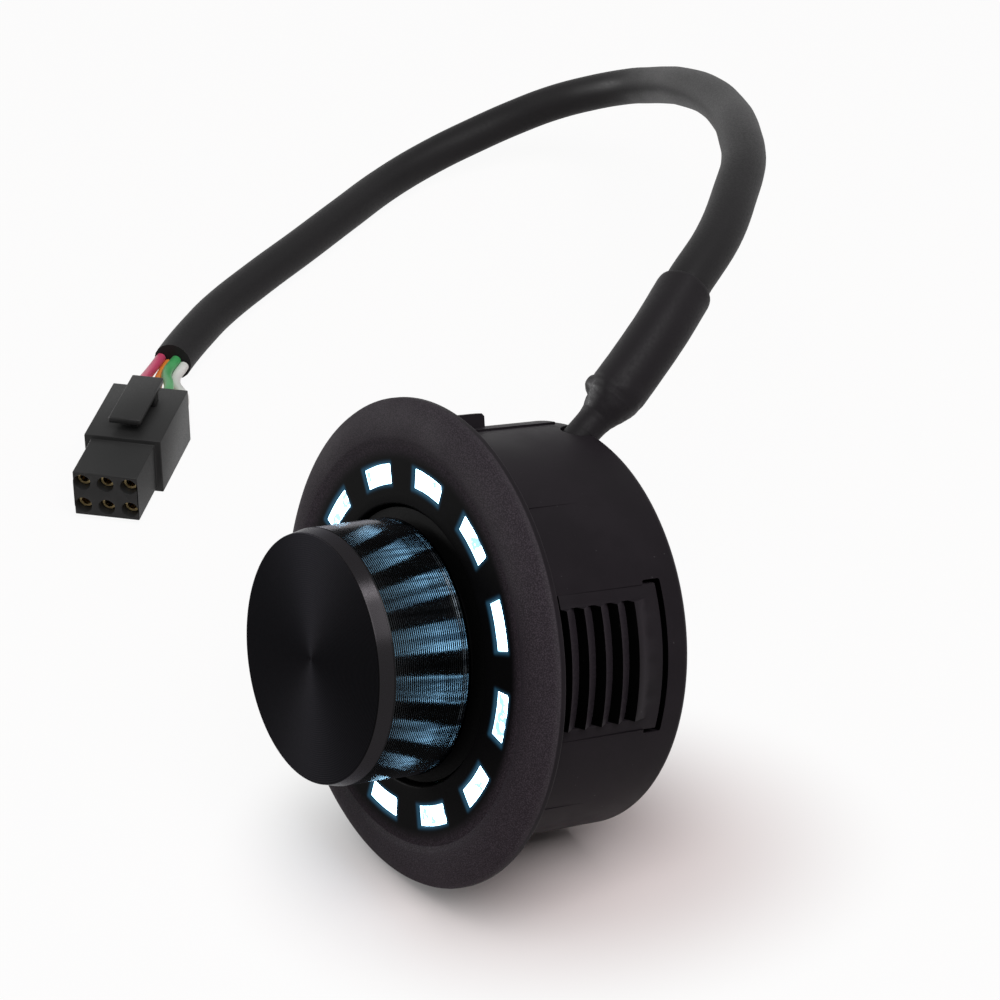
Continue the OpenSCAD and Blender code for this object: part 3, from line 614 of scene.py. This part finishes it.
def drawCord(name, points, diameter, resolution=6, radii=None):
    # one bezier spline through the points, capped
    data = bpy.data.curves.new(name, "CURVE")
    data.dimensions = "3D"
    data.bevel_depth = diameter / 2 * milli
    data.bevel_resolution = cord["sides"]
    data.resolution_u = resolution
    data.use_fill_caps = True
    spline = data.splines.new("BEZIER")
    spline.bezier_points.add(len(points) - 1)
    for k, (bezier, point) in enumerate(zip(spline.bezier_points, points)):
        bezier.co = Vector(point) * milli
        bezier.handle_left_type = "AUTO"
        bezier.handle_right_type = "AUTO"
        bezier.radius = radii[k] if radii else 1
    piece = bpy.data.objects.new(name, data)
    bpy.context.scene.collection.objects.link(piece)
    return piece


def makeMesh(piece):
    pickOnly(piece)
    bpy.ops.object.convert(target="MESH")
    return bpy.context.object


leadPiece = drawCord("leadThin", cordRoutes["lead"], cord["leadDiameter"])
finishPiece(leadPiece, "controller", "rubber_black", "lead")
cablePoints = [cordRoutes["sleeve"][-1], *cordRoutes["cable"]]
cablePiece = drawCord("cableRound", cablePoints, cord["cableDiameter"])
finishPiece(cablePiece, "controller", "cable_black", "cable")

# Shrink sleeve: drawn down onto the lead at its lower end, rolled up on one side, rounded lip at its top
sleeve = {"diameter": 6.1,
          # place along and radius, in millimetres
          "swell": [(-3.4, 1.71), (-2.6, 1.73), (-1.7, 1.78), (-1.0, 1.90), (-0.35, 2.16), (0.35, 2.50),
                    (1.0, 2.80), (1.8, 2.99), (2.8, 3.05), (6.9, 3.06), (11.2, 3.08), (15.5, 3.10),
                    (16.7, 3.10), (17.04, 3.03), (17.2, 2.83), (17.28, 2.50)],
          "wrinkle": 0.32, "wrinkleSize": 1.7, "wrinkleAt": 1.5, "wrinkleReach": 5, "wrinkleLeast": 0.12,
          # place along, push and reach in millimetres, falloff; pushes go to the photograph's left
          "nudges": [(1.2, 0.42, 1.15, "SPHERE"), (-0.3, -0.42, 1.2, "SMOOTH")]}


def alongRoute(distance):
    # point and heading at a distance along the sleeve, or back along the lead where it is negative
    points = cordRoutes["sleeve"] if distance >= 0 else cordRoutes["lead"][::-1]
    spots = [Vector(p) for p in points]
    left = abs(distance)
    for near, far in zip(spots, spots[1:]):
        heading = (far - near).normalized()
        if left <= (far - near).length or far == spots[-1]:
            return near + heading * left, heading * (1 if distance >= 0 else -1)
        left -= (far - near).length


def makeSleeve():
    points = [tuple(alongRoute(distance)[0]) for distance, radius in sleeve["swell"]]
    half = sleeve["diameter"] / 2
    radii = [radius / half for distance, radius in sleeve["swell"]]
    piece = makeMesh(drawCord("shrinkSleeve", points, sleeve["diameter"], 5, radii))
    cleanSkin(piece, 0.000002)
    applyModifier(piece, "SUBSURF", levels=1, render_levels=1)
    clouds = bpy.data.textures.new("sleeveWrinkles", "CLOUDS")
    clouds.noise_scale = sleeve["wrinkleSize"] * milli
    group = piece.vertex_groups.new(name="wrinkled")
    low, heading = alongRoute(0)
    for vertex in piece.data.vertices:
        along = (vertex.co / milli - low).dot(heading)
        share = 1 - abs(along - sleeve["wrinkleAt"]) / sleeve["wrinkleReach"]
        group.add([vertex.index], max(sleeve["wrinkleLeast"], share), "REPLACE")
    applyModifier(piece, "DISPLACE", texture=clouds, texture_coords="LOCAL", mid_level=0.5,
                  strength=sleeve["wrinkle"] * milli, vertex_group="wrinkled")
    left = Vector(view["towards"]).cross(Vector((0, 0, 1))).normalized() * -1
    for distance, push, reach, falloff in sleeve["nudges"]:
        spot, heading = alongRoute(distance)
        side = (left - heading * left.dot(heading)).normalized()
        nudge(piece, (spot + side * half) * milli, side * push * milli, reach * milli, falloff)
    smoothShade(piece, 60)
    return finishPiece(piece, "controller", "sleeve_black", "shrink_sleeve")


def nudge(piece, spot, push, reach, falloff):
    # pulls the skin at a spot, with a soft falloff
    pickOnly(piece)
    bpy.ops.object.mode_set(mode="EDIT")
    bpy.ops.mesh.select_all(action="DESELECT")
    bpy.ops.object.mode_set(mode="OBJECT")
    nearest = min(piece.data.vertices, key=lambda v: (v.co - spot).length)
    nearest.select = True
    bpy.ops.object.mode_set(mode="EDIT")
    bpy.ops.transform.translate(value=push, use_proportional_edit=True, proportional_edit_falloff=falloff,
                                proportional_size=reach)
    bpy.ops.object.mode_set(mode="OBJECT")


sleevePiece = makeSleeve()

# Cores that leave the sheath and enter the plug
plugSeat = {"place": (-86, 9.4, 0), "turn": -43.5, "height": 7.2}
# spread is between the cores in the sheath, pitch between them at the plug
cores = {"start": (-96.9, 17.9, 2.6), "side": (0.76, 0.65, 0), "lean": (2.2, -2.4, 0),
         "diameter": 1.3, "spread": 1.04, "pitch": 1.984,
         "rows": [("coreRed", "core_red", 0.8), ("coreOrange", "core_orange", -0.6),
                  ("coreGreen", "core_green", 0.8), ("coreWhite", "core_white", -0.6)]}


def plugPoint(across, up, back):
    turn = radians(plugSeat["turn"])
    x, y, z = plugSeat["place"]
    return (x - cos(turn) * back - sin(turn) * across, y - sin(turn) * back + cos(turn) * across, z + up)


def makeCores():
    made = []
    middle = plugSeat["height"] / 2
    upward = Vector((0, 0, 1))
    for k, (name, slotName, up) in enumerate(cores["rows"]):
        place = k - (len(cores["rows"]) - 1) / 2
        across = place * cores["pitch"]
        start = Vector(cores["start"]) + Vector(cores["side"]) * place * cores["spread"]
        points = [start + upward * up * 0.5, start + Vector(cores["lean"]) + upward * up * 0.7,
                  plugPoint(across, middle + up, 4), plugPoint(across, middle + up, 0.02)]
        piece = drawCord(name, points, cores["diameter"])
        made.append(finishPiece(piece, "controller", slotName, slotName))
    return made


corePieces = makeCores()

# Pieces whose model shape is right and only want their edges broken
softened = [("clip_right", "clipRight", 0.03, "right_clip", "shell_black"),
            ("clip_left", "clipLeft", 0.03, "left_clip", "shell_black"),
            ("plug_housing", "plugHousing", 0.25, "controller", "plug_black"),
            ("plug_latch", "plugLatch", 0.18, "controller", "plug_black"),
            ("lead_bush", "leadBush", 0.12, "controller", "rubber_black")]
softPieces = {}
for nodeName, pieceName, width, bodyName, slotName in softened:
    softPieces[nodeName] = finishPiece(softCopy(nodeName, pieceName, width), bodyName, slotName, nodeName)

print("cord laid")

# The bush sits a little below the shell's skin, which leaves a shaded ring round the lead
leadExit = {"turn": 80, "lean": 135, "radius": 2.1, "bushSink": 0.5, "inset": 1, "rise": 0.9}
exitTurn = radians(leadExit["turn"])
inward = seat.to_3x3() @ Vector((-cos(exitTurn), -sin(exitTurn), 1)).normalized()
applyPlace(softPieces["lead_bush"], Matrix.Translation(inward * leadExit["bushSink"] * milli))

# Knob: turned face, plain band, grooved wall whose grooves lean back towards the lit face
knob = {"faceR": 12.6, "midR": 12.95, "baseR": 13.1, "top": 12.4, "band": 1.6, "low": 1.92,
        "inR": 11.45, "ceiling": 10.8, "steps": 176,
        # each ring and groove as shares of its pitch, the rings with their dips
        "rings": 56, "ringDepth": 0.008, "ringShape": ((0.15, 1), (0.5, 0), (0.7, 0.35)),
        "grooves": 36, "grooveDepth": 0.045, "grooveShape": (0.9, 0.68, 0.46, 0.24, 0.02),
        "apex": 0.9, "lowGrooves": 10, "lowDrop": 0.45}


def makeKnob():
    top, faceR, midR, baseR = knob["top"], knob["faceR"], knob["midR"], knob["baseR"]
    outline = [(0, top - 0.02), (0.12, top - 0.018)]
    pitch = (faceR - 0.35) / knob["rings"]
    for k in range(knob["rings"]):
        for share, dip in knob["ringShape"]:
            outline.append((0.2 + (k + share) * pitch, top - dip * knob["ringDepth"]))
    outline += arcPoints(faceR - 0.1, top - 0.1, 0.1, 90, 12, 3)
    wallTop = top - knob["band"]
    outline += [(faceR + 0.02, top - 0.2), (midR - 0.02, wallTop + 0.06), (midR - 0.06, wallTop)]
    low = knob["low"] + 0.3
    pitch = (wallTop - 0.08 - low) / knob["grooves"]
    for k in reversed(range(knob["grooves"])):
        radius = baseR + (midR - baseR) * (k + 0.5) / knob["grooves"]
        # the lowest grooves are rounder
        apex = knob["apex"] - knob["lowDrop"] * max(0, 1 - k / knob["lowGrooves"])
        for share in knob["grooveShape"]:
            dip = ((share - apex) / knob["apex"]) ** 2
            outline.append((radius - dip * knob["grooveDepth"], low + (k + share) * pitch))
    outline += arcPoints(baseR - 0.22, knob["low"] + 0.22, 0.22, 0, -90, 4)
    outline += [(knob["inR"] + 0.1, knob["low"]), (knob["inR"], knob["low"] + 0.1),
                (knob["inR"], knob["ceiling"]), (0, knob["ceiling"])]
    piece = turnOutline("knobCap", outline, knob["steps"])
    smoothShade(piece, 26)
    applyPlace(piece, seatMilli)
    return finishPiece(piece, "knob", "knob_metal", "knob_cap")


makeKnob()

# Shell: crowned flange, round body, key and low strip, shallow pockets, clip windows with bracket slots
shell = {"flangeR": 24.997, "crownR": 21.4, "crownH": 1.5, "crownSteps": 10, "crownEnd": 0.955,
         "edgeR": 0.25, "edgeT": 0.9, "bodyR": 21, "depth": 18.9, "rearR": 0.8, "steps": 192,
         "boreR": 19.4, "rearIn": -17.3, "seatR": 20.45, "seatLow": 0.12, "seatTop": 1.30,
         "pocket": 0.13, "pocketEnd": -0.01, "pocketHalf": 46.5, "pocketLen": 10.5,
         "keyAt": 100.5, "keyHalf": 6, "keyH": 1.6, "keyLen": 9.1, "keySlope": 0.3,
         "stripHalf": 11, "stripH": 0.2, "stripLen": 16.6,
         "clipHalf": 7.3, "slit": 0.006, "windowTop": -3.4, "windowLow": -16.12,
         "armHalf": 7.72, "armTop": -14.0, "armCorner": 0.22, "cutIn": 16.2, "cutOut": 24}


def shellOutline():
    crown = shell["crownR"]
    wide = shell["flangeR"] - crown
    outline = [(0, shell["rearIn"]), (shell["boreR"], shell["rearIn"]), (shell["boreR"], shell["seatLow"]),
               (shell["seatR"], shell["seatLow"]), (shell["seatR"], shell["seatTop"]),
               (crown - 0.5, shell["crownH"] - 0.07), (crown - 0.35, shell["crownH"] - 0.015),
               (crown - 0.15, shell["crownH"])]
    for k in range(shell["crownSteps"] + 1):
        share = k / shell["crownSteps"] * shell["crownEnd"]
        outline.append((crown + share * wide, shell["crownH"] * (1 - share * share)))
    edge = shell["edgeR"]
    outline += arcPoints(shell["flangeR"] - edge, -edge, edge, 30, 0, 3)
    outline += arcPoints(shell["flangeR"] - edge, edge - shell["edgeT"], edge, 0, -90, 5)
    outline += [(shell["bodyR"] + 0.12, -shell["edgeT"]), (shell["bodyR"] + 0.03, -shell["edgeT"] - 0.03),
                (shell["bodyR"], -shell["edgeT"] - 0.12)]
    outline += [(shell["bodyR"], -z) for z in (4, 7, 10, 13, 16)]
    rear = shell["rearR"]
    outline += arcPoints(shell["bodyR"] - rear, rear - shell["depth"], rear, 0, -90, 6)
    return outline + [(0, -shell["depth"])]


def keyAndStrip():
    # key, strip and pockets share no plane, which keeps the cuts clean
    bodyR, back = shell["bodyR"], -shell["edgeT"]
    keyTop, keyEnd = bodyR + shell["keyH"], back - shell["keyLen"]
    keyOutline = [(bodyR - 0.6, back + 0.3), (keyTop, back + 0.3), (keyTop, keyEnd + shell["keySlope"]),
                  (keyTop - shell["keySlope"], keyEnd), (bodyR - 0.6, keyEnd)]
    stripTop, stripEnd = bodyR + shell["stripH"], back - shell["stripLen"]
    stripOutline = [(bodyR - 0.5, back + 0.2), (stripTop, back + 0.2), (stripTop, stripEnd),
                    (bodyR - 0.5, stripEnd)]
    key = sweepOutline("key", keyOutline, shell["keyAt"], shell["keyHalf"], 8)
    return sweepOutline("strip", stripOutline, shell["keyAt"], shell["stripHalf"], 12), key


def clipCutters():
    half, arm = shell["clipHalf"] + shell["slit"], shell["armHalf"]
    low, near, far = shell["windowLow"], shell["cutIn"], shell["cutOut"]
    window = addBlock("window", (near, -half, low), (far, half, shell["windowTop"]))
    arms = addBlock("arms", (near, -arm, low), (far, arm, shell["armTop"]))
    roundEdges(arms, shell["armCorner"], lambda a, b: abs((b - a).normalized().x) > 0.99)
    return window, arms


def leadHole():
    bpy.ops.object.select_all(action="DESELECT")
    bpy.ops.mesh.primitive_cylinder_add(vertices=48, radius=leadExit["radius"], depth=16, location=(0, 0, 4))
    hole = bpy.context.object
    applyPlace(hole, Matrix.Identity(4))
    spot = (shell["bodyR"] - leadExit["inset"], 0, leadExit["rise"] - shell["depth"])
    way = Matrix.Rotation(exitTurn, 4, "Z") @ Matrix.Translation(spot)
    applyPlace(hole, way @ Matrix.Rotation(radians(leadExit["lean"]), 4, "Y"))
    return hole


def makeShell():
    piece = turnOutline("shellBody", shellOutline(), shell["steps"])
    for solid in keyAndStrip():
        combine(piece, solid, "UNION")
    bodyR, start = shell["bodyR"], -shell["edgeT"] - 0.03
    end = -shell["edgeT"] - shell["pocketLen"]
    pocketOutline = [(bodyR - shell["pocket"], start), (bodyR - shell["pocketEnd"], end),
                     (bodyR + 1, end), (bodyR + 1, start)]
    for side in (0, 180):
        combine(piece, sweepOutline("pocket", pocketOutline, side, shell["pocketHalf"], 50), "DIFFERENCE")
        for cutter in clipCutters():
            applyPlace(cutter, Matrix.Rotation(radians(side), 4, "Z"))
            combine(piece, cutter, "DIFFERENCE")
    combine(piece, leadHole(), "DIFFERENCE")
    smoothShade(piece, 28)
    applyPlace(piece, seatMilli)
    return finishPiece(piece, "controller", "shell_black", "housing")


makeShell()

# Face ring: flat ring with twelve windows and a collar round the knob
ring = {"holeR": 14.35, "seatR": 20.449, "top": 1.32, "low": 0.12, "collar": 0.8, "collarLow": -1.18,
        "lip": 0.25, "loops": (19.4, 18.5, 17.4, 16.3, 15.4), "steps": 192}


def makeFaceRing():
    hole, seatR, top, low = ring["holeR"], ring["seatR"], ring["top"], ring["low"]
    collarR, collarLow, lip = hole + ring["collar"], ring["collarLow"], ring["lip"]
    outline = [(hole, collarLow), (collarR, collarLow), (collarR, low), (seatR, low), (seatR, top - 0.05),
               (seatR - 0.02, top - 0.015), (seatR - 0.06, top)]
    outline += [(reach, top) for reach in ring["loops"]]
    outline += arcPoints(hole + lip, top - lip, lip, 90, 180, 4)
    outline.append((hole, collarLow))
    piece = turnOutline("faceRing", outline, ring["steps"])
    cutOutline = [(windows["inR"], low - 0.6), (windows["outR"], low - 0.6), (windows["outR"], top + 1),
                  (windows["inR"], top + 1)]
    cutter = sweepOutline("windowCut", cutOutline, windows["first"], windows["half"], 9)
    end = radians(windows["half"]) - 0.001
    first = radians(windows["first"])
    roundEdges(cutter, windows["corner"], lambda a, b: abs((b - a).normalized().z) > 0.99
               and abs(atan2(a.y, a.x) - first) > end)
    turns = [copyTurned(cutter, k * 360 / windows["count"]) for k in range(1, windows["count"])]
    combine(piece, joinAll([cutter, *turns]), "DIFFERENCE")
    smoothShade(piece, 30)
    applyPlace(piece, seatMilli)
    return finishPiece(piece, "controller", "face_black", "face_ring")


makeFaceRing()


# Floor, world and lights
stage = {"floor": (0.84, 0.745, 0.74, 1), "weave": 2600, "world": (1.0, 0.99, 0.99, 1), "worldLight": 0.11,
         # the floor fades to white outside an oval round the controller; its darker colour inside the oval is a
         # painted pool of shade
         "middle": (0.010, 0.007, 0), "turn": 62.6, "half": (0.040, 0.030),
         "fadeStart": 0.22, "fadeEnd": 0.95, "whiteFar": 0.94}


def seenRays(tree):
    # camera, glossy and see-through rays, which meet plain white
    path = addNode(tree, "ShaderNodeLightPath")
    seen = mathNode(tree, "MAXIMUM", path.outputs["Is Camera Ray"], path.outputs["Is Glossy Ray"])
    return mathNode(tree, "MAXIMUM", seen, path.outputs["Is Transmission Ray"])


def makeFloor():
    bpy.ops.object.select_all(action="DESELECT")
    bpy.ops.mesh.primitive_plane_add(size=8, location=(0, 0, -0.0001))
    floor = bpy.context.object
    floor.name = "floor"
    applyPlace(floor, Matrix.Identity(4))
    finish, tree, shader = newFinish("paleFloor")
    place = objectPlace(tree)
    shader.inputs["Base Color"].default_value = stage["floor"]
    shader.inputs["Roughness"].default_value = 0.9
    shader.inputs["Specular IOR Level"].default_value = 0.1
    weave = noiseNode(tree, place, stage["weave"], 2)
    tree.links.new(bumpNode(tree, weave, 0.15, 0.00002), shader.inputs["Normal"])
    # the oval bounds a painted pool of shade: inside it the floor shows its own darker colour
    shadeOval = addNode(tree, "ShaderNodeMapping", {"Vector": place, "Location": stage["middle"],
                   "Rotation": (0, 0, radians(stage["turn"])), "Scale": (*stage["half"], 1)},
                   vector_type="TEXTURE")
    reach = vectorNode(tree, "LENGTH", shadeOval.outputs[0])["Value"]
    far = rangeNode(tree, reach, stage["fadeStart"], stage["fadeEnd"], 0, stage["whiteFar"])
    white = addNode(tree, "ShaderNodeEmission", {"Color": (1, 1, 1, 1), "Strength": 1.0})
    mix = addNode(tree, "ShaderNodeMixShader", {0: multiply(tree, seenRays(tree), far),
                  1: shader.outputs[0], 2: white.outputs[0]})
    tree.links.new(mix.outputs[0], tree.nodes["Material Output"].inputs["Surface"])
    dress(floor, finish)


def makeWorld():
    world = bpy.data.worlds.new("studio")
    bpy.context.scene.world = world
    world.use_nodes = True
    tree = world.node_tree
    plain = tree.nodes["Background"]
    plain.inputs["Color"].default_value = stage["world"]
    plain.inputs["Strength"].default_value = stage["worldLight"]
    white = addNode(tree, "ShaderNodeBackground", {"Color": (1, 1, 1, 1), "Strength": 1.0})
    mix = addNode(tree, "ShaderNodeMixShader", {0: seenRays(tree), 1: plain.outputs[0], 2: white.outputs[0]})
    tree.links.new(mix.outputs[0], tree.nodes["World Output"].inputs["Surface"])


lamps = [
    {"name": "softbox", "place": (0.36, -0.07, 0.74), "size": (0.60, 0.60), "power": 6.0, "matt": True},
    {"name": "rearCard", "place": (0.10, 0.31, 0.80), "size": (0.18, 0.18), "power": 1.35, "matt": False},
    {"name": "leftCard", "place": (-0.495, -0.345, 0.09), "size": (0.36, 0.16), "power": 4.8, "matt": False},
]


def makeLamps():
    for lamp in lamps:
        bpy.ops.object.light_add(type="AREA", location=lamp["place"])
        light = bpy.context.object
        light.name = lamp["name"]
        light.rotation_mode = "QUATERNION"
        light.rotation_quaternion = (knobCentre - Vector(lamp["place"])).to_track_quat("-Z", "Y")
        light.data.shape = "RECTANGLE"
        light.data.size, light.data.size_y = lamp["size"]
        light.data.energy = lamp["power"]
        light.visible_diffuse = lamp["matt"]


makeFloor()
makeWorld()
makeLamps()
bpy.context.scene.view_settings.view_transform = "Standard"
print("stage set")
